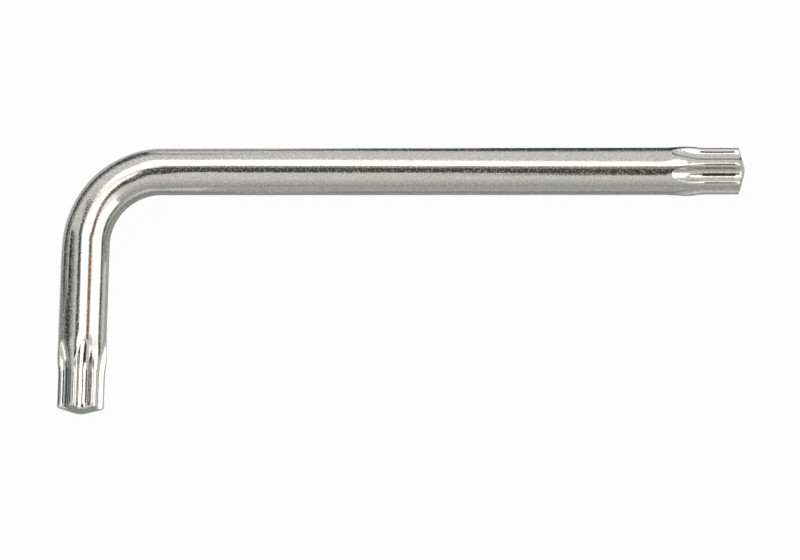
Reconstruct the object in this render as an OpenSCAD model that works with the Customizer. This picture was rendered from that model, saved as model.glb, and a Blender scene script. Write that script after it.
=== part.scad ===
// Six-lobe star key: one round bar bent to a right angle, with a star formed in each end.
// The key lies flat: the long arm points along +X, the short arm along -Y, and +Z is up.
// The origin is the middle of the underside of the box around the key. Sizes are in millimetres.

/* [Bar and bend] */
// Diameter of the round bar
bar_d = 5.6; // [5.5:0.05:8]
// Length of the long arm, from the outside of the short arm to its blunt point
long_reach = 81.1; // [50:0.1:200]
// Length of the short arm, from the outside of the long arm to its blunt point
short_reach = 32.1; // [26:0.1:100]
// Radius of the bend on its inner side
bend_inner_r = 6; // [2:0.1:12]

/* [Star] */
// Width of the star across two opposite lobes
star_across = 5.52; // [5:0.02:5.68]
// Width of the star between two opposite flutes
star_root = 3.94; // [3.5:0.02:4.4]
// Radius of the hollow of each flute
flute_r = 1.19; // [0.95:0.01:1.35]
// Radius of the rounded edges of each lobe
lobe_edge_r = 0.36; // [0.1:0.01:0.4]
// Length of the full star behind its blunt point
star_len = 3.8; // [1.5:0.1:10]
// Length over which each flute rises out of the bar
run_out = 4.3; // [2.5:0.1:7]
// Slope of the blunt points, as an angle from a flat end
point_angle = 16; // [6:1:30]
// Radius of the rounding in the middle of the blunt points
point_r = 2.6; // [1:0.1:5]
// Turn of the long arm's star, from a flute straight up towards the outside of the bend
long_star_turn = -20; // [-30:1:30]
// Turn of the short arm's star, from a flute straight up towards the long arm
short_star_turn = 18; // [-30:1:30]

/* [Swelling behind the star] */
// Growth of the bar in diameter at the swelling
swell = 0.25; // [0.05:0.01:0.8]
// Length over which the bar grows to the swelling
swell_rise = 2.8; // [1.5:0.1:6]
// Plain bar of each tip before its swelling
tip_lead = 0.6; // [0.3:0.1:3]

/* [Hidden] */
$fn = 96;
// Steps round a large circle, of which the outline uses a short arc
arc_steps = 1152;
plate = [0.79, 0.76, 0.72];
lobes = 6;
half_pitch = 180 / lobes;
// How far a rounding crosses the face next to it, so that the two meet in a clean edge
edge_lap = 0.004;
// How far the arc of the swelling runs on past its crown
crown_lap = 0.15;
// Radius of the hollow before the star against the radius of a flute's path, so that no lobe stands proud
hollow_share = 1.3;
// How far a cutting shape reaches past the surface that it cuts
over = 1;

bar_r = bar_d / 2;
star_r = star_across / 2;
root_r = star_root / 2;
swell_r = bar_r + swell / 2;
bend_r = bend_inner_r + bar_r;

// Section of the star: hollow of a flute, and the roundings on both sides of it
flute_c = root_r + flute_r;
full_round_r = (star_r * star_r + flute_c * flute_c - flute_r * flute_r
    - 2 * star_r * flute_c * cos(half_pitch)) / (2 * (star_r + flute_r - flute_c * cos(half_pitch)));
edge_r = min(lobe_edge_r, 0.9 * full_round_r);
edge_c = star_r - edge_r + edge_lap;
edge_reach = flute_r + edge_r - edge_lap;
edge_turn = acos((edge_c * edge_c + flute_c * flute_c - edge_reach * edge_reach) / (2 * edge_c * flute_c));
clear_r = swell_r + over;

// Path of a flute: straight at full depth, then an arc that leaves the bar
flute_depth = bar_r - root_r;
path_r = (run_out * run_out + flute_depth * flute_depth) / (2 * flute_depth);
path_c = root_r + path_r;
path_turn = acos(1 - (swell_r + over / 2 - root_r) / path_r);

// Swelling: an arc up from the bar, and a hollow down to the star
rise_h = swell / 2;
rise_r = (swell_rise * swell_rise + rise_h * rise_h) / (2 * rise_h);
hollow_r = hollow_share * path_r;
fall_h = swell_r - star_r;
fall_len = sqrt(2 * hollow_r * fall_h - fall_h * fall_h);

// Stations of a tip along its arm, from its seat on the shank
full_z = tip_lead + max(run_out, swell_rise + fall_len);
crown_z = full_z - fall_len;
// Blunt point: a cone, which crosses the rounding in its middle by the lap
point_slope = tan(point_angle);
cone_h = (point_r - edge_lap) / cos(point_angle) - point_r;
point_h = star_r * point_slope - cone_h;
point_meet_r = point_r * sin(point_angle);
tip_len = full_z + star_len + point_h;

// Straight stretches, and the place of the arms' crossing in the frame of the key
long_shank_len = long_reach - bar_r - bend_r - tip_len;
short_shank_len = short_reach - bar_r - bend_r - tip_len;
cross_at = [(swell_r + bar_r - long_reach) / 2, (short_reach - bar_r - swell_r) / 2, swell_r];

// Half outline of a tip before its flutes are cut: radius along X, length along Y
module tip_outline() {
    difference() {
        square([clear_r, tip_len + over]);
        // Outside of the bar and of the rising side of the swelling
        difference() {
            translate([bar_r, -over]) square([clear_r, crown_z + crown_lap + over]);
            translate([swell_r - rise_r, crown_z + crown_lap]) circle(r = rise_r, $fn = arc_steps);
        }
        // Hollow between the swelling and the star
        translate([star_r + hollow_r - edge_lap, full_z]) circle(r = hollow_r, $fn = arc_steps);
        // Outside of the star
        translate([star_r, full_z]) square([clear_r, tip_len]);
        // Outside of the cone of the blunt point
        polygon([
            [-over, tip_len + cone_h + over * point_slope],
            [star_r + over, tip_len + cone_h - (star_r + over) * point_slope],
            [star_r + over, tip_len + 2 * over],
            [-over, tip_len + 2 * over]
        ]);
        // Outside of the rounding in its middle
        difference() {
            translate([-over, tip_len - point_r / 2]) square([over + point_meet_r, tip_len]);
            translate([0, tip_len - point_r]) circle(r = point_r);
        }
    }
}

// Section of the cut that rounds the two lobe edges beside a flute that faces along X
module edge_section() {
    difference() {
        polygon([
            [flute_c, 0],
            [edge_c * cos(edge_turn), edge_c * sin(edge_turn)],
            [clear_r * cos(edge_turn) + over, clear_r * sin(edge_turn)],
            [clear_r * cos(edge_turn) + over, -clear_r * sin(edge_turn)],
            [edge_c * cos(edge_turn), -edge_c * sin(edge_turn)]
        ]);
        rotate(edge_turn) translate([edge_c, 0]) circle(r = edge_r);
        rotate(-edge_turn) translate([edge_c, 0]) circle(r = edge_r);
    }
}

// Carries a section along the straight stretch of each flute
module along_flutes() {
    for (k = [0 : lobes - 1]) {
        rotate([0, 0, k * 2 * half_pitch])
            translate([0, 0, full_z]) linear_extrude(height = star_len + point_h + over) children();
    }
}

// Carries a section along the run-out of each flute
module along_run_outs() {
    for (k = [0 : lobes - 1]) {
        rotate([0, 0, k * 2 * half_pitch])
            translate([path_c, 0, full_z]) rotate([-90, 0, 180])
                rotate_extrude(angle = path_turn) translate([path_c, 0]) mirror([1, 0]) children();
    }
}

// One tip along Z with its seat at the origin and a flute facing along X
module star_tip() {
    difference() {
        rotate_extrude() tip_outline();
        along_flutes() translate([flute_c, 0]) circle(r = flute_r);
        along_run_outs() translate([flute_c, 0]) circle(r = flute_r);
        along_flutes() edge_section();
        along_run_outs() edge_section();
    }
}

// Star tip of the long arm
module long_star_tip() {
    color(plate)
        translate(cross_at + [long_reach - bar_r - tip_len, 0, 0])
            rotate([0, 90, 0]) rotate([0, 0, -long_star_turn]) star_tip();
}

// Straight shank of the long arm
module long_shank() {
    color(plate)
        translate(cross_at + [bend_r, 0, 0])
            rotate([0, 90, 0]) cylinder(r = bar_r, h = long_shank_len);
}

// Right-angle bend between the two arms
module bend() {
    color(plate)
        translate(cross_at + [bend_r, -bend_r, 0])
            rotate([0, 0, 90]) rotate_extrude(angle = 90) translate([bend_r, 0]) circle(r = bar_r);
}

// Straight shank of the short arm
module short_shank() {
    color(plate)
        translate(cross_at + [0, -bend_r, 0])
            rotate([90, 0, 0]) cylinder(r = bar_r, h = short_shank_len);
}

// Star tip of the short arm
module short_star_tip() {
    color(plate)
        translate(cross_at + [0, tip_len + bar_r - short_reach, 0])
            rotate([90, 0, 0]) rotate([0, 0, 90 - short_star_turn]) star_tip();
}

long_star_tip();
long_shank();
bend();
short_shank();
short_star_tip();
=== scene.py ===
"""Star key: a nickel-plated round bar bent to a right angle, with a six-lobe star at each end.

Laid out as an add-on and run as a script. One operator makes the star tips, one the shanks,
one the bend and one the studio. All sizes are in metres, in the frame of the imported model.
"""
import math

import bmesh
import bpy
from bpy.props import FloatProperty, FloatVectorProperty, PointerProperty
from mathutils import Euler, Matrix, Vector


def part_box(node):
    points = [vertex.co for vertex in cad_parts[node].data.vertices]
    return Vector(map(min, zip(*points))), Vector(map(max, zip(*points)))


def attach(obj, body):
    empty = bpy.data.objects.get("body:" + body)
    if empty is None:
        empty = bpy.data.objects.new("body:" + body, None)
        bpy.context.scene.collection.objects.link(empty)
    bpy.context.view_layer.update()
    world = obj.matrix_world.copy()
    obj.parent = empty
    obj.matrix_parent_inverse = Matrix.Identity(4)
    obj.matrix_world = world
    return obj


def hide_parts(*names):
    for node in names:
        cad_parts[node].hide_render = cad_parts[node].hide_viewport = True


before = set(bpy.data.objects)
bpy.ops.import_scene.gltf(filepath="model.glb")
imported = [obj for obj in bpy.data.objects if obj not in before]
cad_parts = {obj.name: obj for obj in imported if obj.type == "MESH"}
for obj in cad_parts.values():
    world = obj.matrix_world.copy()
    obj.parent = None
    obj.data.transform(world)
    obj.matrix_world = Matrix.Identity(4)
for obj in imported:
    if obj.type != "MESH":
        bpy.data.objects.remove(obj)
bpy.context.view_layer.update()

bl_info = {
    "name": "Star key",
    "version": (1, 0, 0),
    "blender": (4, 5, 0),
    "location": "3D View > Sidebar > Star key",
    "description": "Makes a nickel-plated six-lobe star key and the studio that it lies in",
    "category": "Object",
}

MM = 0.001
QUARTER = math.pi / 2

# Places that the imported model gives
LONG_LO, LONG_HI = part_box("long_shank")
SHORT_LO, SHORT_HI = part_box("short_shank")
LONG_TIP_LO, LONG_TIP_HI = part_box("long_star_tip")
BAR_R = (LONG_HI.z - LONG_LO.z) / 2
AXIS_Z = (LONG_HI.z + LONG_LO.z) / 2
LONG_Y = (LONG_HI.y + LONG_LO.y) / 2
SHORT_X = (SHORT_HI.x + SHORT_LO.x) / 2
LONG_LEN = LONG_HI.x - LONG_LO.x
SHORT_LEN = SHORT_HI.y - SHORT_LO.y
TIP_LEN = LONG_TIP_HI.x - LONG_TIP_LO.x
BEND_AT = Vector((LONG_LO.x, SHORT_HI.y, AXIS_Z))
BEND_R = LONG_LO.x - SHORT_X
# Where the axes of the two arms cross
CROSSING = Vector((SHORT_X, LONG_Y, AXIS_Z))

# An arm's own axes: X is up, Z runs from the bend to the tip
LONG_ARM = Matrix.Translation((LONG_LO.x, LONG_Y, AXIS_Z)) @ Matrix(
    ((0, 0, 1, 0), (0, -1, 0, 0), (1, 0, 0, 0), (0, 0, 0, 1)))
SHORT_ARM = Matrix.Translation((SHORT_X, SHORT_HI.y, AXIS_Z)) @ Matrix(
    ((0, -1, 0, 0), (0, 0, -1, 0), (1, 0, 0, 0), (0, 0, 0, 1)))

# Steps of the meshes
AROUND = 360
BEND_STEPS = 90
RUN_OUT_STEP = 0.07 * MM
STAR_STEPS = 6
POINT_STEPS = 12
RIM_STEPS = 3
SHANK_STEP = 1.0 * MM
# Straight end that the bend has on each arm
BEND_STUB = 0.3 * MM
# Points that lie closer than this are one point
MERGE_GAP = 0.0002 * MM

# The star: its lobes, and the angle from one to the next
LOBES = 6
PITCH = 2 * math.pi / LOBES
# Most of the room beside a flute that the rounding of a lobe takes
EDGE_SHARE = 0.97
# Most of its radius that the arc of a run-out covers
ARC_SHARE = 0.9
# Width of the rubbed band on a lobe, and the rubbing of the blunt point's rim and of its middle
RUB_WIDTH = 0.45 * MM
RIM_RUB = 0.6
POINT_RUB = 0.2

# Waves of the drawn bar: turn for each step, times that the arm's phase counts, and height
SIDE_WAVES = ((0.61, 1, 1.0), (1.37, 2, 0.6))
LIFT_WAVES = ((0.53, 3, 1.0), (1.21, 1, 0.6))
LONG_PHASE = 0.7
SHORT_PHASE = 2.1
# Steps over which the waves fade out at the ends of a shank
WAVE_FADE = 6

# Length over which the short arm grows and shrinks, and how much of it lies on the bend and the tip
GROWTH_RAMP = 4.0 * MM
GROWTH_ON_BEND = 0.5
GROWTH_ON_TIP = 1.0


def size_of(name, text, default):
    """A length in metres that the panel shows."""
    return FloatProperty(name=name, description=text, default=default, min=0.0, precision=5,
                         subtype="DISTANCE", unit="LENGTH")


def angle_of(name, text, degrees):
    """An angle that the panel shows."""
    return FloatProperty(name=name, description=text, default=math.radians(degrees),
                         subtype="ANGLE", unit="ROTATION")


def share_of(name, text, default):
    """A share from 0 to 1 that the panel shows."""
    return FloatProperty(name=name, description=text, default=default, min=0.0, max=1.0,
                         subtype="FACTOR")


def level_of(name, text, default):
    """A brightness that the panel shows, where 1 is white."""
    return FloatProperty(name=name, description=text, default=default, min=0.0)


def tone_of(name, text, default):
    """A colour that the panel shows."""
    return FloatVectorProperty(name=name, description=text, default=default, size=3,
                               min=0.0, max=1.0, subtype="COLOR")


class StarKeyTips(bpy.types.PropertyGroup):
    """Sizes of the two star tips."""

    star_across: size_of("Star across", "Width of the star across two lobes", 5.52 * MM)
    star_root: size_of("Star root", "Width of the star between two flutes", 3.94 * MM)
    flute_r: size_of("Flute radius", "Radius of the hollow of a flute", 0.95 * MM)
    lobe_edge: size_of("Lobe edge", "Rounding of the lobes of the full star", 0.44 * MM)
    run_edge: size_of("Run-out edge", "Rounding of the edges where a flute leaves the bar", 0.10 * MM)
    rim_edge: size_of("Rim edge", "Rounding of the rim of the blunt point", 0.18 * MM)
    star_len: size_of("Star length", "Length of the full star behind the blunt point", 3.8 * MM)
    run_out: size_of("Run-out", "Length over which a flute leaves the bar", 4.3 * MM)
    run_step: size_of("Run-out step", "Depth of a flute where it ends in a blunt scoop", 0.11 * MM)
    scoop: size_of("Scoop", "Length of the blunt scoop at the end of a flute", 0.45 * MM)
    point_r: size_of("Point radius", "Rounding in the middle of the blunt points", 2.6 * MM)
    point_angle: angle_of("Point angle", "Slope of the blunt points from a flat end", 16)
    swell: size_of("Swelling", "Growth of the bar in diameter behind the star", 0.25 * MM)
    swell_rise: size_of("Swelling rise", "Length over which the bar grows", 2.8 * MM)
    swell_fall: size_of("Swelling fall", "Length over which the bar falls to the star", 2.22 * MM)
    long_turn: angle_of("Long star turn", "Turn of the long arm's star from a flute straight up", 20)
    short_turn: angle_of("Short star turn", "Turn of the short arm's star from a flute straight up", -18)


class StarKeyBar(bpy.types.PropertyGroup):
    """Form of the drawn bar and its bend."""

    pinch: share_of("Bend pinch", "How far the bend narrows its outer side and widens its inner side", 0.05)
    flat: size_of("Bend flattening", "How far the outer side of the bend is drawn in", 0.10 * MM)
    pinch_ramp: angle_of("Pinch ramp", "Part of the bend over which the pinch sets in", 30)
    waver: size_of("Waver", "Waviness of the drawn bar", 0.003 * MM)
    growth: size_of("Short arm growth", "How far the short arm is thicker on its outer side", 0.14 * MM)


class StarKeyPlating(bpy.types.PropertyGroup):
    """Colours and grain of the nickel plating."""

    bright: tone_of("Bright nickel", "Cool tone of the plating", (0.620, 0.616, 0.595))
    warm: tone_of("Warm nickel", "Warm tone of the plating", (0.635, 0.605, 0.565))
    pit: tone_of("Pits", "Tone of the pits in the plating", (0.300, 0.280, 0.250))
    rubbed: tone_of("Rubbed lobes", "Tone of the lobes that screws have rubbed", (0.560, 0.550, 0.530))
    rough: share_of("Roughness", "Roughness of the clean plating", 0.09)
    rough_spread: share_of("Roughness spread", "How much the roughness varies", 0.06)
    grain: size_of("Grain", "Size of the grain in the plating", 0.22 * MM)
    grain_depth: size_of("Grain depth", "Height of the grain", 0.004 * MM)
    matte: share_of("Matte grains", "How far the matte grains scatter light", 0.33)
    mottle: share_of("Mottle", "How far the grain darkens the plating", 0.55)
    dull: share_of("Dull lobes", "Roughness that rubbing adds to the lobes", 0.05)
    line_gap: size_of("Line gap", "Distance between the lines left by drawing the bar", 0.14 * MM)
    line_depth: size_of("Line depth", "Height of the drawn lines", 0.002 * MM)
    pit_gap: size_of("Pit gap", "Distance between pits", 0.9 * MM)
    pit_depth: size_of("Pit depth", "Depth of the pits", 0.012 * MM)


class StarKeyStudio(bpy.types.PropertyGroup):
    """Camera, floor and light of the studio."""

    camera_at: FloatVectorProperty(
        name="Camera place", description="Place of the camera", size=3, precision=5,
        default=(0.0245221, -0.0518569, 0.3051135), subtype="TRANSLATION", unit="LENGTH")
    camera_turn: FloatVectorProperty(
        name="Camera turn", description="Turn of the camera", size=3,
        default=(math.radians(9.79183), math.radians(4.47548), math.radians(0.88609)),
        subtype="EULER", unit="ROTATION")
    lens: FloatProperty(
        name="Lens", description="Focal length of the camera in millimetres", default=117.0, min=1.0,
        subtype="DISTANCE_CAMERA", unit="CAMERA")
    floor: tone_of("Floor", "Colour of the floor", (0.62, 0.62, 0.61))
    floor_white: share_of("Floor white", "How far the camera sees the floor as plain white", 0.97)
    floor_mirror: share_of("Floor in metal", "How far the plating sees the floor as plain white", 0.15)
    softbox: level_of("Softbox", "Brightness of the softboxes in the plating", 2.2)
    second: level_of("Second softbox", "Brightness of the softbox beyond the gap", 1.6)
    # The dark flag tone also paints the shadow lines on the floor that the plating shows
    flag: tone_of("Flag", "Tone of the dark flags", (0.040, 0.055, 0.053))
    near_flag: tone_of("Near flag", "Tone of the flag along the long arm", (0.080, 0.088, 0.084))
    warm_edge: tone_of("Warm edge", "Tone of the warm edges of the flags", (0.46, 0.39, 0.33))
    warm_flag: tone_of("Warm flag", "Tone of the gap between the softboxes", (0.36, 0.23, 0.15))
    dim_flag: tone_of("Dim flag", "Tone of the floor outside the bend", (0.072, 0.098, 0.092))
    # The grey floor cards are painted shade of the key on the floor, seen only in the plating
    floor_shade: tone_of("Foot flag", "Tone of the grey flags on the floor", (0.38, 0.43, 0.42))
    # The cool tone is also painted light on the floor beside the short arm, seen only in the plating
    cool: tone_of("Cool card", "Tone of the pale cards beside the short arm", (0.93, 0.99, 1.00))
    back_low: tone_of("Back screen foot", "Tone of the back screen at the floor", (0.12, 0.13, 0.13))
    back_high: tone_of("Back screen top", "Tone of the back screen at its top", (0.66, 0.70, 0.69))
    front_low: tone_of("Front screen foot", "Tone of the front screen at the floor", (0.54, 0.53, 0.51))
    front_high: tone_of("Front screen top", "Tone of the front screen at its top", (0.94, 0.93, 0.91))
    fill: share_of("Fill", "Brightness of the room", 0.50)
    lamp: FloatProperty(
        name="Lamp", description="Power of the lamp in watts", default=4.5, min=0.0,
        subtype="POWER", unit="POWER")


def eased(share):
    """0 to 1 in a soft S."""
    share = min(max(share, 0.0), 1.0)
    return (1 - math.cos(math.pi * share)) / 2


def straightened(point):
    """Where a point would lie if the bar were straight: along it, out from the bend, and up."""
    up = point.z - AXIS_Z
    if point.x >= BEND_AT.x:
        return point.x - BEND_AT.x, point.y - LONG_Y, up
    if point.y <= BEND_AT.y:
        return point.y - BEND_AT.y - QUARTER * BEND_R, SHORT_X - point.x, up
    across, ahead = BEND_AT.x - point.x, point.y - BEND_AT.y
    return -math.atan2(across, ahead) * BEND_R, math.hypot(across, ahead) - BEND_R, up


def first_ring(bm, height):
    """A closed disc of the bar's section at a height along the arm; gives back its edges."""
    bmesh.ops.create_circle(bm, cap_ends=True, segments=AROUND, radius=BAR_R,
                            matrix=Matrix.Translation((0, 0, height)))
    return list(bm.edges)


def next_ring(bm, edges):
    """Draws a ring of edges out to a new ring; gives back its points and edges."""
    geom = bmesh.ops.extrude_edge_only(bm, edges=edges)["geom"]
    points = {g for g in geom if isinstance(g, bmesh.types.BMVert)}
    ring = [g for g in geom if isinstance(g, bmesh.types.BMEdge) and all(v in points for v in g.verts)]
    return points, ring


def close_end(bm, edges):
    """Closes the open end of a piece with a flat cap."""
    bmesh.ops.contextual_create(bm, geom=edges)


def object_of(bm, name, material):
    """Turns a shaped mesh into an object of the scene with one material."""
    mesh = bpy.data.meshes.new(name)
    bm.to_mesh(mesh)
    bm.free()
    mesh.materials.append(material)
    made = bpy.data.objects.new(name, mesh)
    bpy.context.scene.collection.objects.link(made)
    return made


def finish_piece(bm, name, node, material):
    """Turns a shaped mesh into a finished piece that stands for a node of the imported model."""
    bmesh.ops.remove_doubles(bm, verts=bm.verts[:], dist=MERGE_GAP)
    bmesh.ops.recalc_face_normals(bm, faces=bm.faces[:])
    drawn = bm.verts.layers.float_vector.new("drawn")
    for point in bm.verts:
        point[drawn] = Vector(straightened(point.co))
    for face in bm.faces:
        face.smooth = True
        # Only the flat caps have as many corners as a ring
        if len(face.verts) == AROUND:
            for edge in face.edges:
                edge.smooth = False
    piece = object_of(bm, name, material)
    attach(piece, "root")
    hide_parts(node)


def star_radius(angle, body_r, flute_c, flute_r, edge_r):
    """Radius of a fluted section in one direction: the hollow, the rounded lobe edge or the crown."""
    if flute_c - flute_r >= body_r:
        return body_r
    off = abs((angle + PITCH / 2) % PITCH - PITCH / 2)
    far = flute_c * math.cos(PITCH / 2)
    room = (body_r ** 2 + flute_c ** 2 - flute_r ** 2 - 2 * body_r * far) / (2 * (body_r + flute_r - far))
    edge_r = min(edge_r, EDGE_SHARE * room)
    edge_c = body_r - edge_r
    reach = flute_r + edge_r
    turn = math.acos((edge_c ** 2 + flute_c ** 2 - reach ** 2) / (2 * edge_c * flute_c))
    share = flute_r / reach
    start = math.atan2(edge_c * math.sin(turn) * share,
                       flute_c + (edge_c * math.cos(turn) - flute_c) * share)
    if off <= start:
        return flute_c * math.cos(off) - math.sqrt(max(flute_r ** 2 - (flute_c * math.sin(off)) ** 2, 0.0))
    if off <= turn:
        return edge_c * math.cos(turn - off) + math.sqrt(
            max(edge_r ** 2 - (edge_c * math.sin(turn - off)) ** 2, 0.0))
    return body_r


def shape_tip(sizes, turn, seat):
    """The mesh of one star tip along its arm, with its seat at a height along the arm."""
    star_r = sizes.star_across / 2
    root_r = sizes.star_root / 2
    depth = BAR_R - root_r - sizes.run_step
    arc_len = sizes.run_out - sizes.scoop
    path_r = (arc_len ** 2 + depth ** 2) / (2 * depth)
    meet_r = sizes.point_r * math.sin(sizes.point_angle)

    def point_z(radius):
        """Height of the blunt point: a ball in its middle, and a cone round that."""
        ball = sizes.point_r - math.sqrt(sizes.point_r ** 2 - min(radius, meet_r) ** 2)
        return TIP_LEN - ball - max(radius - meet_r, 0.0) * math.tan(sizes.point_angle)

    full_z = point_z(star_r) - sizes.star_len
    crown_z = full_z - sizes.swell_fall
    rise_z = crown_z - sizes.swell_rise
    crown_r = BAR_R + sizes.swell / 2

    def body_r(height):
        """Radius without the flutes: up from the bar to the swelling, and down to the star."""
        if height < crown_z:
            return BAR_R + (crown_r - BAR_R) * eased((height - rise_z) / sizes.swell_rise)
        return crown_r + (star_r - crown_r) * eased((height - crown_z) / sizes.swell_fall)

    def flute_lift(behind):
        """Rise of a flute's bottom: an arc, then a blunt scoop out of the bar."""
        rise = path_r - math.sqrt(path_r ** 2 - min(max(behind, 0.0), ARC_SHARE * path_r) ** 2)
        into = min(max((behind - arc_len) / sizes.scoop, 0.0), 1.0)
        return rise + 2 * sizes.run_step * (1 - math.sqrt(1 - into ** 2))

    def section(height):
        """The section at a height, as a function that gives the radius in one direction."""
        behind = full_z - height
        body = body_r(height)
        flute_c = root_r + sizes.flute_r + flute_lift(behind)
        edge = sizes.run_edge + (sizes.lobe_edge - sizes.run_edge) * eased(1 - behind / sizes.run_out)
        return lambda angle: star_radius(angle - turn, body, flute_c, sizes.flute_r, edge)

    def lobe_rub(height, body):
        """The rubbing at a height, as a function of the radius."""
        worn = eased((height - crown_z) / sizes.swell_fall)
        return lambda radius: worn * eased((radius - body) / RUB_WIDTH + 1)

    bm = bmesh.new()
    rub = bm.verts.layers.float.new("rub")
    pressed = bm.verts.layers.float.new("pressed")
    edges = first_ring(bm, seat)

    def draw(height_at, radius_at, rub_at, smooth):
        """Draws the last ring out to a new one; gives back the new edges."""
        points, ring = next_ring(bm, edges)
        for point in points:
            angle = math.atan2(point.co.y, point.co.x)
            radius = radius_at(angle)
            point.co = (radius * math.cos(angle), radius * math.sin(angle), seat + height_at(radius))
            point[rub] = rub_at(radius)
            point[pressed] = smooth
        return ring

    steps = math.ceil((full_z - rise_z) / RUN_OUT_STEP)
    heights = [rise_z / 2] + [rise_z + (full_z - rise_z) * k / steps for k in range(steps + 1)]
    heights += [full_z + sizes.star_len * k / STAR_STEPS for k in range(1, STAR_STEPS)]
    for height in heights:
        edges = draw(lambda radius: height, section(height), lobe_rub(height, body_r(height)),
                     eased((height - rise_z) / sizes.swell_rise))

    star = section(full_z + sizes.star_len)
    rim = edges = draw(point_z, star, lambda radius: RIM_RUB, 1.0)
    for k in range(1, POINT_STEPS):
        share = 1 - k / POINT_STEPS
        edges = draw(point_z, lambda angle: share * star(angle), lambda radius: POINT_RUB, 0.0)
    points, edges = next_ring(bm, edges)
    bmesh.ops.pointmerge(bm, verts=list(points), merge_co=(0, 0, seat + TIP_LEN))
    bmesh.ops.bevel(bm, geom=rim, offset=sizes.rim_edge, offset_type="OFFSET", affect="EDGES",
                    segments=RIM_STEPS, profile=0.5, material=-1)
    return bm


def wave_at(waves, step, phase):
    """Sum of a few waves at one step along the bar."""
    return sum(height * math.sin(turn * step + times * phase) for turn, times, height in waves)


def shape_shank(length, waver, phase, start):
    """The mesh of one straight shank along its arm, with the faint waviness of drawn bar."""
    bm = bmesh.new()
    edges = first_ring(bm, start)
    steps = math.ceil((length - start) / SHANK_STEP)
    for k in range(1, steps + 1):
        height = start + (length - start) * k / steps
        fade = eased(k / WAVE_FADE) * eased((steps - k) / WAVE_FADE)
        side = fade * waver * wave_at(SIDE_WAVES, k, phase)
        lift = fade * waver * wave_at(LIFT_WAVES, k, phase)
        points, edges = next_ring(bm, edges)
        for point in points:
            angle = math.atan2(point.co.y, point.co.x)
            point.co = (BAR_R * math.cos(angle) + lift, BAR_R * math.sin(angle) + side, height)
    close_end(bm, edges)
    return bm


def thicken_short_arm(bm, growth):
    """Moves the outer side of the short arm out, from the end of the bend to the swelling of the tip."""
    for point in bm.verts:
        along, out, _ = straightened(point.co)
        past = -along - QUARTER * BEND_R
        grown = eased(past / GROWTH_RAMP + GROWTH_ON_BEND)
        left = eased((SHORT_LEN - past) / GROWTH_RAMP + GROWTH_ON_TIP)
        push = growth * (grown * left) * max(out / BAR_R, 0.0) ** 2
        if push > 0:
            away = Vector((SHORT_X - BEND_AT.x, 0, 0)) if past > 0 else point.co - BEND_AT
            away.z = 0
            point.co += away.normalized() * push


def shape_bend(bar):
    """The mesh of the bend: the bar's section spun through a right angle, pinched as bending leaves it."""
    bm = bmesh.new()
    edges = first_ring(bm, BEND_STUB)
    points, edges = next_ring(bm, edges)
    bmesh.ops.translate(bm, verts=list(points), vec=(0, 0, -BEND_STUB))
    bmesh.ops.transform(bm, matrix=LONG_ARM, verts=bm.verts[:])
    last = bmesh.ops.spin(bm, geom=edges, cent=BEND_AT, axis=(0, 0, 1), angle=QUARTER,
                          steps=BEND_STEPS, use_duplicate=False)["geom_last"]
    points, edges = next_ring(bm, [g for g in last if isinstance(g, bmesh.types.BMEdge)])
    bmesh.ops.translate(bm, verts=list(points), vec=(0, -BEND_STUB, 0))
    close_end(bm, edges)
    for point in bm.verts:
        along, out, up = straightened(point.co)
        turn = -along / BEND_R
        if not 0 < turn < QUARTER:
            continue
        ramp = eased(turn / bar.pinch_ramp) * eased((QUARTER - turn) / bar.pinch_ramp)
        share = out / BAR_R
        up *= 1 - bar.pinch * ramp * share
        out -= bar.flat * ramp * max(share, 0.0) ** 2
        reach = BEND_R + out
        point.co = BEND_AT + Vector((-reach * math.sin(turn), reach * math.cos(turn), up))
    return bm


def add_node(tree, kind, label, **values):
    """A shader node with a label and its unlinked sockets set."""
    made = tree.nodes.new(kind)
    made.label = label
    for socket, value in values.items():
        made.inputs[socket].default_value = value
    return made


def add_attribute(tree, label, name):
    """A value that the piece's own mesh carries."""
    made = add_node(tree, "ShaderNodeAttribute", label)
    made.attribute_name = name
    return made


def add_math(tree, label, operation, first, second):
    """One operation on two sockets or numbers."""
    made = add_node(tree, "ShaderNodeMath", label)
    made.operation = operation
    for socket, value in zip(made.inputs, (first, second)):
        if isinstance(value, (int, float)):
            socket.default_value = value
        else:
            tree.links.new(value, socket)
    return made.outputs[0]


def add_range(tree, label, value, low, high, to_low, to_high):
    """A number carried from one range to another, held at its ends."""
    ends = {"From Min": low, "From Max": high, "To Min": to_low, "To Max": to_high}
    made = add_node(tree, "ShaderNodeMapRange", label, **ends)
    tree.links.new(value, made.inputs["Value"])
    return made.outputs["Result"]


# Places of the two colours and of the result among the sockets of a mix node
MIX_FIRST, MIX_SECOND, MIX_RESULT = 6, 7, 2


def add_blend(tree, label, share, first, second):
    """A colour between two colours or sockets."""
    made = add_node(tree, "ShaderNodeMix", label)
    made.data_type = "RGBA"
    tree.links.new(share, made.inputs[0])
    for socket, value in ((made.inputs[MIX_FIRST], first), (made.inputs[MIX_SECOND], second)):
        if isinstance(value, bpy.types.NodeSocket):
            tree.links.new(value, socket)
        else:
            socket.default_value = (*value, 1.0)
    return made.outputs[MIX_RESULT]


def add_mix(tree, label, share, first, second):
    """A surface between two surfaces."""
    made = add_node(tree, "ShaderNodeMixShader", label)
    for socket, value in zip(made.inputs, (share, first, second)):
        tree.links.new(value, socket)
    return made.outputs[0]


# Scales of the plating's patterns, and the values between which each one sets in
CLOUD_SCALE = 150.0
CLOUD_SPAN = (0.35, 0.65)
HAZE_SPAN = (0.3, 0.7)
LINE_STRETCH = 60.0
LINE_SPAN = (0.35, 0.65)
MOTTLE_SPAN = (0.3, 0.7)
MATTE_SPAN = (0.52, 0.66)
PATCH_SPAN = (0.35, 0.6)
PATCH_LEAST = 0.35
PIT_SPAN = (0.04, 0.12)
PIT_CHANCE = (0.88, 0.92)
PIT_ROUGH = 0.10


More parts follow.
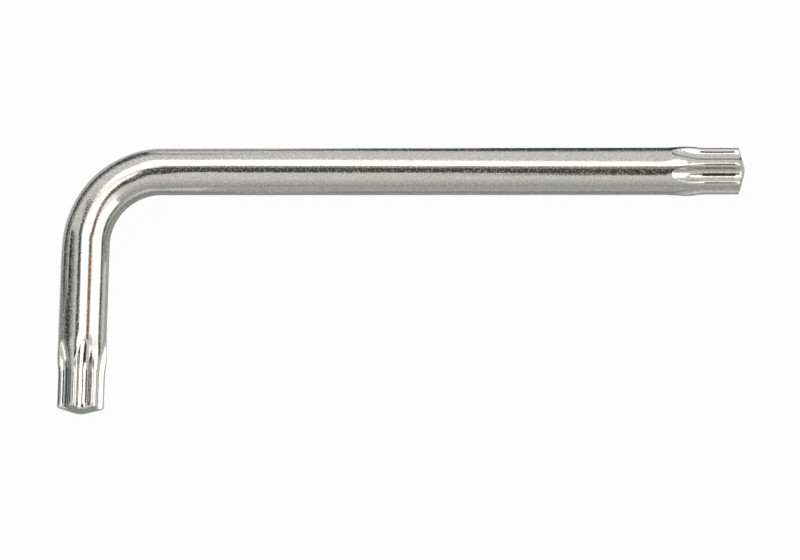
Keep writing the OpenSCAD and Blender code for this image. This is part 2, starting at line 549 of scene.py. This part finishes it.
def nickel_plating(finish):
    """Nickel plate on drawn steel: grain, drawn lines along the bar, pits and rubbed lobes."""
    material = bpy.data.materials.get("nickel_plating")
    if material:
        return material
    material = bpy.data.materials.new("nickel_plating")
    material.use_nodes = True
    tree = material.node_tree
    link = tree.links.new
    plate = tree.nodes["Principled BSDF"]

    place = tree.nodes.new("ShaderNodeTexCoord").outputs["Object"]
    along = add_attribute(tree, "Straightened place", "drawn").outputs["Vector"]
    rub = add_attribute(tree, "Rubbing", "rub").outputs["Fac"]
    pressed = add_attribute(tree, "Pressed", "pressed").outputs["Fac"]

    clouds = add_node(tree, "ShaderNodeTexNoise", "Broad tone", Scale=CLOUD_SCALE, Detail=3.0)
    link(place, clouds.inputs["Vector"])
    stretch = add_node(tree, "ShaderNodeMapping", "Along the bar",
                       Scale=(LINE_STRETCH, 1 / finish.line_gap, 1 / finish.line_gap))
    link(along, stretch.inputs["Vector"])
    lines = add_node(tree, "ShaderNodeTexNoise", "Drawn lines", Scale=1.0, Detail=3.0, Roughness=0.6)
    link(stretch.outputs["Vector"], lines.inputs["Vector"])
    grain = add_node(tree, "ShaderNodeTexNoise", "Grain", Scale=1 / finish.grain, Detail=1.0, Roughness=0.5)
    link(place, grain.inputs["Vector"])
    cells = add_node(tree, "ShaderNodeTexVoronoi", "Pit cells", Scale=1 / finish.pit_gap)
    link(place, cells.inputs["Vector"])
    chance = tree.nodes.new("ShaderNodeSeparateColor")
    link(cells.outputs["Color"], chance.inputs[0])
    dip = add_range(tree, "Pit shape", cells.outputs["Distance"], *PIT_SPAN, 1.0, 0.0)
    few = add_range(tree, "Few pits", chance.outputs[0], *PIT_CHANCE, 0.0, 1.0)
    pits = add_math(tree, "Pits", "MULTIPLY", dip, few)

    # Colour
    cloud = add_range(tree, "Cloud", clouds.outputs[0], *CLOUD_SPAN, 0.0, 1.0)
    tone = add_blend(tree, "Cool to warm", cloud, finish.bright, finish.warm)
    mottle = add_range(tree, "Mottle", grain.outputs[0], *MOTTLE_SPAN, finish.mottle, 0.0)
    tone = add_blend(tree, "Mottled", mottle, tone, finish.pit)
    patches = add_range(tree, "Patches", grain.outputs[0], *PATCH_SPAN, PATCH_LEAST, 1.0)
    worn = add_math(tree, "Rub in patches", "MULTIPLY", rub, patches)
    tone = add_blend(tree, "Rubbed", worn, tone, finish.rubbed)
    link(add_blend(tree, "Pitted", pits, tone, finish.pit), plate.inputs["Base Color"])

    # Roughness and metal
    spread = finish.rough_spread / 2
    streak = add_range(tree, "Streaks", lines.outputs[0], *LINE_SPAN, 0.0, spread)
    haze = add_range(tree, "Haze", clouds.outputs[0], *HAZE_SPAN, finish.rough, finish.rough + spread)
    rough = add_math(tree, "Haze and streaks", "ADD", haze, streak)
    smooth = add_math(tree, "Pressed smooth", "MULTIPLY", pressed, finish.rough / 2)
    rough = add_math(tree, "Smooth flutes", "SUBTRACT", rough, smooth)
    dulled = add_math(tree, "Dulled", "MULTIPLY", worn, finish.dull)
    rough = add_math(tree, "Dull lobes", "ADD", rough, dulled)
    pitted = add_math(tree, "Pit roughness", "MULTIPLY", pits, PIT_ROUGH)
    link(add_math(tree, "Rough pits", "ADD", rough, pitted), plate.inputs["Roughness"])
    matte = add_range(tree, "Matte grains", grain.outputs[0], *MATTE_SPAN, 0.0, finish.matte)
    unpressed = add_math(tree, "Not pressed", "SUBTRACT", 1.0, pressed)
    matte = add_math(tree, "Grains left", "MULTIPLY", matte, unpressed)
    link(add_math(tree, "Bare metal", "SUBTRACT", 1.0, matte), plate.inputs["Metallic"])

    # Relief
    bump = None
    for label, height, depth, invert in (("Drawn line bump", lines.outputs[0], finish.line_depth, False),
                                         ("Grain bump", grain.outputs[0], finish.grain_depth, False),
                                         ("Pit bump", pits, finish.pit_depth, True)):
        made = add_node(tree, "ShaderNodeBump", label, Strength=1.0, Distance=depth)
        made.invert = invert
        link(height, made.inputs["Height"])
        if bump:
            link(bump, made.inputs["Normal"])
        bump = made.outputs[0]
    link(bump, plate.inputs["Normal"])
    return material


class STARKEY_OT_star_tips(bpy.types.Operator):
    """Makes the star tips of both arms"""

    bl_idname = "starkey.star_tips"
    bl_label = "Star tips"

    def execute(self, context):
        sizes = context.scene.star_key_tips
        plating = nickel_plating(context.scene.star_key_plating)
        for name, node, arm, seat, turn in (
                ("plated_long_tip", "long_star_tip", LONG_ARM, LONG_LEN, sizes.long_turn),
                ("plated_short_tip", "short_star_tip", SHORT_ARM, SHORT_LEN, sizes.short_turn)):
            bm = shape_tip(sizes, turn, seat)
            bmesh.ops.transform(bm, matrix=arm, verts=bm.verts[:])
            thicken_short_arm(bm, context.scene.star_key_bar.growth)
            finish_piece(bm, name, node, plating)
        return {"FINISHED"}


class STARKEY_OT_shanks(bpy.types.Operator):
    """Makes the straight shanks of both arms"""

    bl_idname = "starkey.shanks"
    bl_label = "Shanks"

    def execute(self, context):
        bar = context.scene.star_key_bar
        plating = nickel_plating(context.scene.star_key_plating)
        for name, node, arm, length, phase in (
                ("plated_long_shank", "long_shank", LONG_ARM, LONG_LEN, LONG_PHASE),
                ("plated_short_shank", "short_shank", SHORT_ARM, SHORT_LEN, SHORT_PHASE)):
            bm = shape_shank(length, bar.waver, phase, BEND_STUB)
            bmesh.ops.transform(bm, matrix=arm, verts=bm.verts[:])
            thicken_short_arm(bm, bar.growth)
            finish_piece(bm, name, node, plating)
        return {"FINISHED"}


class STARKEY_OT_bend(bpy.types.Operator):
    """Makes the right-angle bend between the arms"""

    bl_idname = "starkey.bend"
    bl_label = "Bend"

    def execute(self, context):
        bar = context.scene.star_key_bar
        plating = nickel_plating(context.scene.star_key_plating)
        bm = shape_bend(bar)
        thicken_short_arm(bm, bar.growth)
        finish_piece(bm, "plated_bend", "bend", plating)
        return {"FINISHED"}


# Directions along the long arm, away from the short arm's tip, and up
ALONG = Vector((1, 0, 0))
AHEAD = Vector((0, 1, 0))
UP = Vector((0, 0, 1))

# Floor, lamp and camera
FLOOR_HALF = 8.0
LAMP_SIZE = 0.5
LAMP_AT = Vector((-0.25, 0.40, 0.75))
CLIP_START = 0.01

# Far cards by the directions of their corners: X and Y for each unit of height above the crossing
CARD_HEIGHT = 2.0
SOFTBOX_CORNERS = (
    (-0.13, 0.12), (-0.30, 0.27), (-0.44, 0.42), (-0.48, 0.72), (-0.32, 1.22), (-0.16, 1.20),
    (-0.02, 0.82), (0.12, 0.65), (0.37, 0.45), (0.47, 0.13), (0.62, 0.05), (0.60, 0.0), (0.53, -0.05),
    (0.48, -0.09), (0.32, -0.12), (0.25, -0.14), (0.15, -0.15), (0.08, -0.13), (0.03, -0.13),
    (0.0, -0.11), (-0.20, -0.12), (-0.13, 0.0))
LEFT_SOFTBOX_CORNERS = ((-0.95, -0.20), (-1.90, -0.20), (-1.90, -0.90), (-0.95, -0.90))
WARM_GAP_CORNERS = (
    (0.47, 0.45), (0.47, 0.13), (0.62, 0.05), (0.60, 0.0), (0.53, -0.05), (0.48, -0.09),
    (0.92, -0.16), (0.98, -0.09), (1.03, 0.0), (1.03, 0.09), (0.80, 0.22), (0.80, 0.45))
DARK_GAP_CORNERS = (
    (0.92, -0.16), (0.48, -0.09), (0.32, -0.12), (0.25, -0.14), (0.15, -0.15), (0.08, -0.13),
    (0.03, -0.13), (0.0, -0.11), (0.0, -0.60), (0.17, -0.63), (0.28, -0.48), (0.42, -0.42),
    (0.56, -0.32), (0.72, -0.26))
SECOND_CORNERS = (
    (0.98, -0.09), (0.92, -0.16), (0.72, -0.26), (0.56, -0.32), (0.42, -0.42), (0.42, -0.50),
    (0.95, -1.13), (1.03, -0.09))
DIAGONAL_CORNERS = (
    (-0.11, 0.04), (-0.50, 0.04), (-0.53, 0.30), (-0.83, 0.545), (-1.45, 0.97), (-0.81, 0.60),
    (-0.45, 0.36), (-0.15, 0.12))

# Low cards by their corners and heights, in millimetres from the crossing
NEAR_HEIGHT = 14.0
NEAR_CORNERS = (
    (71.5, -0.6), (71.5, -5.7), (40.0, -4.3), (15.0, -3.6), (11.0, -3.4), (8.8, -4.2), (7.8, -5.6),
    (7.2, -6.4), (6.3, -6.2), (5.8, -4.5), (5.5, -1.5), (5.6, 0.6), (7.0, 1.9), (15.0, 1.7), (40.0, 0.8))
NEAR_EDGE_CORNERS = (
    (71.5, -0.6), (40.0, 0.8), (15.0, 1.7), (7.0, 1.9), (7.0, 3.6), (15.0, 3.8), (40.0, 3.1), (71.5, 2.5))
TIP_HEIGHT = 120.0
TIP_CORNERS = ((74.0, 17.0), (90.0, 17.0), (90.0, -76.0), (74.0, -76.0))
TIP_SCREEN_CORNERS = ((74.0, 50.0), (90.0, 50.0), (90.0, 140.0), (74.0, 140.0))
SHORT_TIP_HEIGHT = 30.0
SHORT_TIP_CORNERS = ((7.0, -28.0), (24.0, -28.0), (24.0, -43.0), (7.0, -43.0))
RUN_OUT_HEIGHT = 60.0
RUN_OUT_CORNERS = ((100.0, -45.0), (130.0, -45.0), (130.0, 28.0), (100.0, 28.0))

# Cards just above the floor, by this gap, and their corners in millimetres from the crossing
FLOOR_GAP = 0.1
OUTER_CORNERS = (
    (4.0, 9.0), (0.0, 60.0), (-30.0, 120.0), (-120.0, 90.0), (-90.0, -12.0), (-13.0, -12.0),
    (-13.0, 0.0), (-6.0, 10.0))
# Painted shade of the key on the floor beside the short arm, seen only in the plating
LEFT_FLOOR_CORNERS = ((-7.0, -8.0), (-13.0, -12.0), (-60.0, -12.0), (-60.0, -36.0), (-7.0, -36.0))
# Painted light on the floor behind the long arm, seen only in the plating
BACK_FLOOR_CORNERS = ((110.0, 13.5), (110.0, 500.0), (-70.0, 500.0), (4.0, 13.5))
# Painted shadow of the key on the floor just behind the long arm, seen only in the plating
BACK_LINE_CORNERS = (
    (86.0, 5.0), (86.0, 26.0), (56.0, 26.0), (47.0, 21.0), (38.0, 17.0), (28.0, 13.5), (4.0, 13.5),
    (4.0, 9.0), (22.0, 8.0), (34.0, 4.5))
# Painted shade of the key on the floor in front of the long arm, seen only in the plating
INNER_CORNERS = ((6.0, -3.4), (80.0, -3.4), (80.0, -8.0), (12.0, -8.0), (8.0, -10.0), (7.0, -10.0))
# Painted light on the floor beside the short arm, seen only in the plating
INNER_CARD_CORNERS = ((6.6, -10.0), (12.5, -10.0), (12.5, -30.0), (6.6, -30.0))
# Painted shadow on the floor between the arms, seen only in the plating
INNER_FAR_CORNERS = ((17.0, 2.0), (47.0, 8.0), (47.0, -20.0), (17.0, -20.0))
# Painted shade on the floor before the short arm's tip, seen only in the plating
END_CORNERS = ((-8.0, -29.5), (6.0, -29.5), (6.0, -44.0), (-8.0, -44.0))

# Slants between which a card turns clear: 0 is a ray straight on, 1 a ray along the card
CLEAR_CARDS = {"near_flag": (0.15, 0.20), "near_flag_edge": (0.15, 0.20), "tip_flag": (0.15, 0.20),
               "short_tip_flag": (0.24, 0.28), "inner_far_flag": (0.80, 0.74)}

# Upright cards by their two ends, and their lower and upper edges, in metres from the crossing
SIDE_ENDS = ((4.0, -7.0), (4.0, 1.1))
SIDE_EDGES = (0.0, 4.8)
BACK_ENDS = ((-4.0, -1.0), (-0.56, 3.96))
BACK_EDGES = (0.0, 0.6)
FRONT_ENDS = ((-6.0, -4.0), (4.0, -4.0))
FRONT_EDGES = (0.0, 3.2)
LEFT_ENDS = ((-4.0, -0.6), (-4.0, 1.3))
LEFT_EDGES = (1.10, 5.6)
LEFT_LOW_ENDS = ((-0.080, -0.0026), (-0.080, -0.022))
LEFT_LOW_EDGES = (0.0125, 0.0295)

# Cards that change from one tone to another: the direction, and where the change starts and stops
DARK_GAP_FADE = (ALONG, 0.12, 0.70)
# The painted shadow behind the long arm turns from grey to dark along the arm
BACK_LINE_FADE = (ALONG, -0.030, 0.005)
SIDE_FADE = (AHEAD, -6.0, -3.4)
BACK_FADE = (UP, *BACK_EDGES)
FRONT_FADE = (UP, *FRONT_EDGES)
LEFT_FADE = (UP, 2.0, 5.6)


def glow_material(name, tone, far_tone, fade, clear):
    """A card's glow in one tone, or from one tone to another along a fade.

    A card may turn clear between two slants of the rays that meet it.
    """
    material = bpy.data.materials.new(name)
    material.use_nodes = True
    tree = material.node_tree
    tree.nodes.clear()
    glow = add_node(tree, "ShaderNodeEmission", "Glow", Color=(*tone, 1.0), Strength=1.0)
    if far_tone:
        ahead, start, stop = fade
        place = tree.nodes.new("ShaderNodeTexCoord")
        reach = add_node(tree, "ShaderNodeVectorMath", "Reach")
        reach.operation = "DOT_PRODUCT"
        reach.inputs[1].default_value = ahead
        tree.links.new(place.outputs["Object"], reach.inputs[0])
        share = add_range(tree, "Across the card", reach.outputs["Value"], start, stop, 0.0, 1.0)
        tree.links.new(add_blend(tree, "Near to far", share, tone, far_tone), glow.inputs["Color"])
    surface = glow.outputs[0]
    if clear:
        slant = add_node(tree, "ShaderNodeLayerWeight", "Slant", Blend=0.5)
        glass = tree.nodes.new("ShaderNodeBsdfTransparent")
        share = add_range(tree, "Clear", slant.outputs["Facing"], *clear, 0.0, 1.0)
        surface = add_mix(tree, "Glow or clear", share, surface, glass.outputs[0])
    end = tree.nodes.new("ShaderNodeOutputMaterial")
    tree.links.new(surface, end.inputs[0])
    return material


def hang_card(name, corners, tone, far_tone=None, fade=None):
    """A flat card of the studio that only the plating sees."""
    bm = bmesh.new()
    bm.faces.new([bm.verts.new(CROSSING + corner) for corner in corners])
    card = object_of(bm, name, glow_material(name, tone, far_tone, fade, CLEAR_CARDS.get(name)))
    card.visible_camera = card.visible_diffuse = card.visible_shadow = False


def seen_as_white(tree, camera_share, metal_share):
    """How far a ray sees plain white: camera rays by one share, rays from metal and glass by another."""
    path = tree.nodes.new("ShaderNodeLightPath")
    camera = add_math(tree, "Camera", "MULTIPLY", path.outputs["Is Camera Ray"], camera_share)
    shiny = add_math(tree, "Metal or glass", "MAXIMUM",
                     path.outputs["Is Glossy Ray"], path.outputs["Is Transmission Ray"])
    metal = add_math(tree, "Metal", "MULTIPLY", shiny, metal_share)
    return add_math(tree, "White", "MAXIMUM", camera, metal)


def lay_floor(look):
    """A wide pale floor that is white to the camera and keeps the key's shadow."""
    material = bpy.data.materials.new("pale_floor")
    material.use_nodes = True
    tree = material.node_tree
    tree.nodes.clear()
    pale = add_node(tree, "ShaderNodeBsdfDiffuse", "Pale floor", Color=(*look.floor, 1.0))
    white = add_node(tree, "ShaderNodeEmission", "White", Strength=1.0)
    share = seen_as_white(tree, look.floor_white, look.floor_mirror)
    end = tree.nodes.new("ShaderNodeOutputMaterial")
    tree.links.new(add_mix(tree, "Floor", share, pale.outputs[0], white.outputs[0]), end.inputs[0])
    bm = bmesh.new()
    bmesh.ops.create_grid(bm, x_segments=1, y_segments=1, size=FLOOR_HALF)
    floor = object_of(bm, "floor", material)


def light_room(look):
    """A white room with one soft lamp."""
    world = bpy.data.worlds.new("studio_room")
    world.use_nodes = True
    bpy.context.scene.world = world
    tree = world.node_tree
    tree.nodes.clear()
    plain = (1.0, 1.0, 1.0, 1.0)
    fill = add_node(tree, "ShaderNodeBackground", "Room", Color=plain, Strength=look.fill)
    white = add_node(tree, "ShaderNodeBackground", "White", Color=plain, Strength=1.0)
    share = seen_as_white(tree, camera_share=1.0, metal_share=1.0)
    end = tree.nodes.new("ShaderNodeOutputWorld")
    tree.links.new(add_mix(tree, "Room", share, fill.outputs[0], white.outputs[0]), end.inputs[0])

    light = bpy.data.lights.new("lamp", "AREA")
    light.energy = look.lamp
    light.size = LAMP_SIZE
    lamp = bpy.data.objects.new("lamp", light)
    lamp.location = LAMP_AT
    lamp.rotation_euler = LAMP_AT.to_track_quat("Z", "Y").to_euler()
    lamp.visible_glossy = False
    bpy.context.scene.collection.objects.link(lamp)


def hang_cards(look):
    """The softboxes, flags and screens that the plating shows, and the painted shade, painted shadow and
    painted light on the floor that only the plating sees.
    """
    softbox = (look.softbox,) * 3
    second = (look.second,) * 3
    floor = FLOOR_GAP - AXIS_Z / MM
    for name, corners, *glow in (
            ("overhead_softbox", SOFTBOX_CORNERS, softbox),
            ("left_softbox", LEFT_SOFTBOX_CORNERS, softbox),
            ("warm_gap", WARM_GAP_CORNERS, look.warm_flag),
            ("dark_gap", DARK_GAP_CORNERS, look.flag, look.warm_edge, DARK_GAP_FADE),
            ("second_softbox", SECOND_CORNERS, second),
            ("diagonal_flag", DIAGONAL_CORNERS, look.flag)):
        hang_card(name, [Vector((x, y, 1.0)) * CARD_HEIGHT for x, y in corners], *glow)
    for name, corners, height, *glow in (
            ("near_flag", NEAR_CORNERS, NEAR_HEIGHT, look.near_flag),
            ("near_flag_edge", NEAR_EDGE_CORNERS, NEAR_HEIGHT, look.warm_edge),
            ("tip_flag", TIP_CORNERS, TIP_HEIGHT, look.flag),
            ("tip_screen", TIP_SCREEN_CORNERS, TIP_HEIGHT, look.front_high),
            ("short_tip_flag", SHORT_TIP_CORNERS, SHORT_TIP_HEIGHT, look.flag),
            ("run_out_softbox", RUN_OUT_CORNERS, RUN_OUT_HEIGHT, softbox),
            ("outer_floor_flag", OUTER_CORNERS, floor, look.dim_flag),
            # The floor cards from here on are painted: painted shade and painted shadow of the key on the
            # floor, and painted light on the floor, all seen only in the plating
            ("left_floor_flag", LEFT_FLOOR_CORNERS, floor, look.floor_shade),
            ("back_floor_card", BACK_FLOOR_CORNERS, floor, look.front_high),
            ("back_line_flag", BACK_LINE_CORNERS, floor, look.floor_shade, look.flag, BACK_LINE_FADE),
            ("inner_floor_flag", INNER_CORNERS, floor, look.floor_shade),
            ("inner_floor_card", INNER_CARD_CORNERS, floor, look.cool),
            ("inner_far_flag", INNER_FAR_CORNERS, floor, look.flag),
            ("end_floor_flag", END_CORNERS, floor, look.floor_shade)):
        hang_card(name, [Vector((x, y, height)) * MM for x, y in corners], *glow)
    for name, (first, last), (foot, top), *glow in (
            ("side_softbox", SIDE_ENDS, SIDE_EDGES, look.front_high, softbox, SIDE_FADE),
            ("back_screen", BACK_ENDS, BACK_EDGES, look.back_low, look.back_high, BACK_FADE),
            ("front_screen", FRONT_ENDS, FRONT_EDGES, look.front_low, look.front_high, FRONT_FADE),
            ("left_flag", LEFT_ENDS, LEFT_EDGES, look.flag, look.cool, LEFT_FADE),
            ("left_low_flag", LEFT_LOW_ENDS, LEFT_LOW_EDGES, look.flag)):
        corners = ((*first, foot), (*last, foot), (*last, top), (*first, top))
        hang_card(name, [Vector(corner) for corner in corners], *glow)


class STARKEY_OT_studio(bpy.types.Operator):
    """Makes the floor, the light, the cards that the plating shows and the camera"""

    bl_idname = "starkey.studio"
    bl_label = "Studio"

    def execute(self, context):
        look = context.scene.star_key_studio
        lay_floor(look)
        light_room(look)
        hang_cards(look)
        lens = bpy.data.cameras.new("camera")
        lens.lens = look.lens
        lens.clip_start = CLIP_START
        camera = bpy.data.objects.new("camera", lens)
        camera.location = look.camera_at
        camera.rotation_euler = Euler(look.camera_turn, "XYZ")
        context.scene.collection.objects.link(camera)
        context.scene.camera = camera
        context.scene.view_settings.view_transform = "Standard"
        return {"FINISHED"}


class STARKEY_PT_panel(bpy.types.Panel):
    """Lists the pieces of the star key, its sizes and its colours"""

    bl_label = "Star key"
    bl_idname = "STARKEY_PT_panel"
    bl_space_type = "VIEW_3D"
    bl_region_type = "UI"
    bl_category = "Star key"

    def draw(self, context):
        for operator, groups in ((STARKEY_OT_star_tips, ("star_key_tips", "star_key_plating")),
                                 (STARKEY_OT_shanks, ()),
                                 (STARKEY_OT_bend, ("star_key_bar",)),
                                 (STARKEY_OT_studio, ("star_key_studio",))):
            box = self.layout.box()
            box.operator(operator.bl_idname)
            for group in groups:
                values = getattr(context.scene, group)
                for name in values.__annotations__:
                    box.prop(values, name)


GROUPS = {"star_key_tips": StarKeyTips, "star_key_bar": StarKeyBar,
          "star_key_plating": StarKeyPlating, "star_key_studio": StarKeyStudio}
CLASSES = (*GROUPS.values(), STARKEY_OT_star_tips, STARKEY_OT_shanks, STARKEY_OT_bend,
           STARKEY_OT_studio, STARKEY_PT_panel)


def register():
    """Registers the classes and puts their values on the scene."""
    for made in CLASSES:
        bpy.utils.register_class(made)
    for name, group in GROUPS.items():
        setattr(bpy.types.Scene, name, PointerProperty(type=group))


def unregister():
    """Takes away what register made."""
    for name in GROUPS:
        delattr(bpy.types.Scene, name)
    for made in reversed(CLASSES):
        bpy.utils.unregister_class(made)


def main():
    """Makes the key and its studio."""
    register()
    bpy.ops.starkey.star_tips()
    bpy.ops.starkey.shanks()
    bpy.ops.starkey.bend()
    bpy.ops.starkey.studio()


if __name__ == "__main__":
    main()
